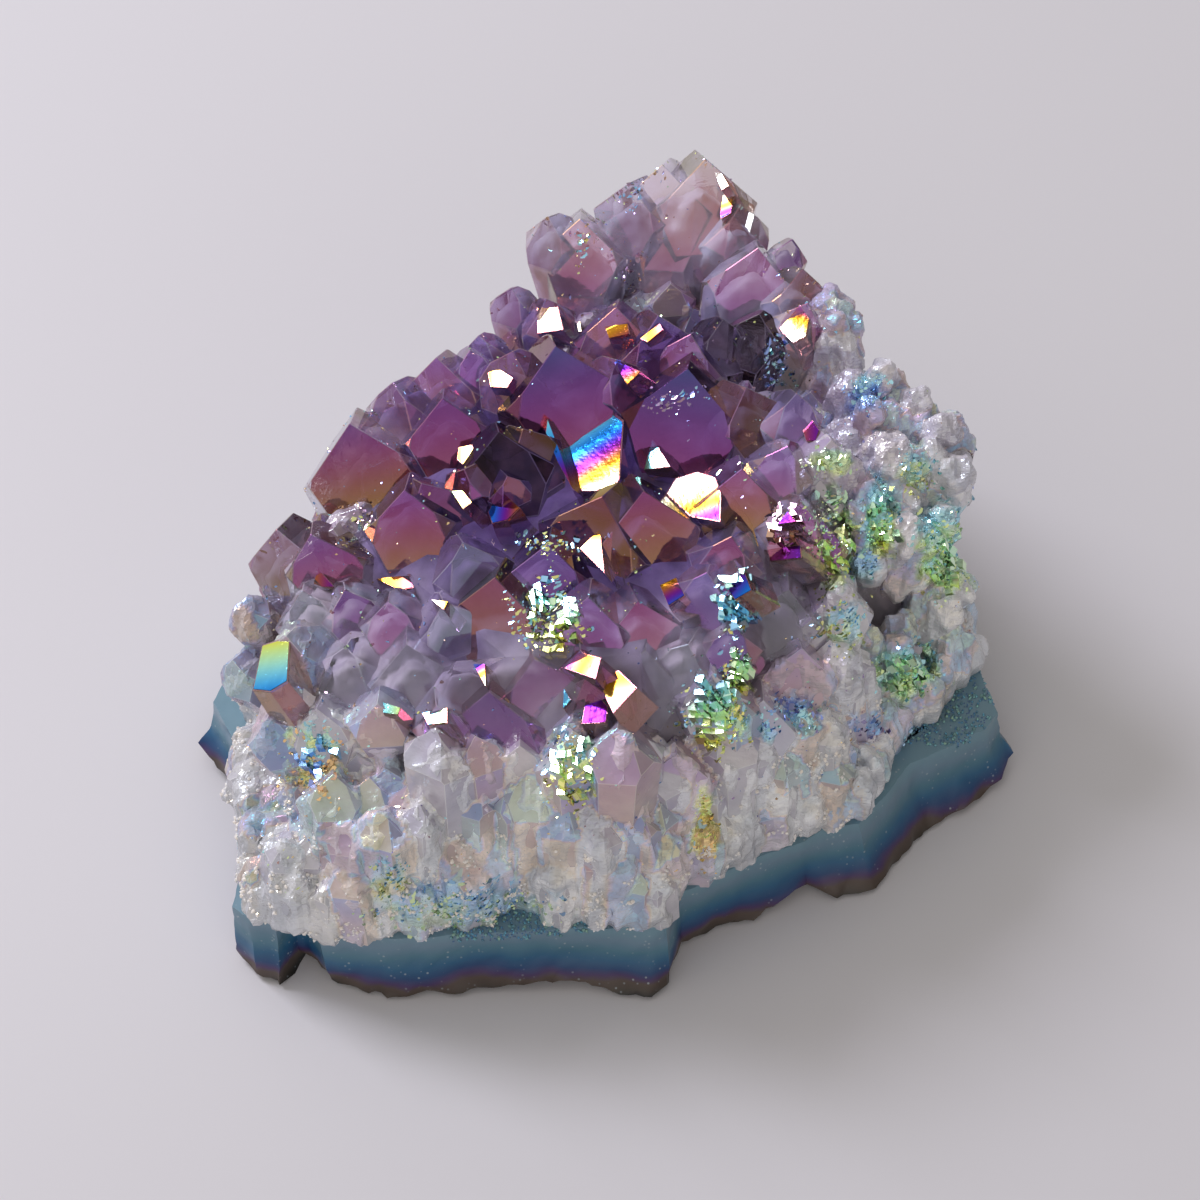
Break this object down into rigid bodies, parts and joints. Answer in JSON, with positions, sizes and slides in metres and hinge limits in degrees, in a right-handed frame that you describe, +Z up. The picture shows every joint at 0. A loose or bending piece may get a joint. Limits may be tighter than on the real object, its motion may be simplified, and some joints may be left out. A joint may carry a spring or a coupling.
{
  "type": "angel aura amethyst cluster",
  "caption": "Natural quartz druse of purple pointed crystals with an iridescent vapour coating, grown on a thin flat-bottomed plate of agate matrix; rests on a table as a display specimen.",
  "frame": {"origin": "middle of the whole piece in plan, on the flat underside of the matrix", "axes": "+Z up out of the matrix, +X to the right seen from the low front edge, +Y to the back where the tallest crystals stand"},
  "size_m": [0.097, 0.0898, 0.0487],
  "materials": {
    "matrix_stone": "smooth fracture with a metallic vapour film, slate teal to deep blue, brown and black at the lower rim",
    "coated_quartz": "see-through purple tips over milky white roots, polished growth faces with an iridescent film"
  },
  "bodies": {
    "root": {"agate_matrix": "matrix_stone", "amethyst_druse": "coated_quartz"}
  },
  "joints": []
}
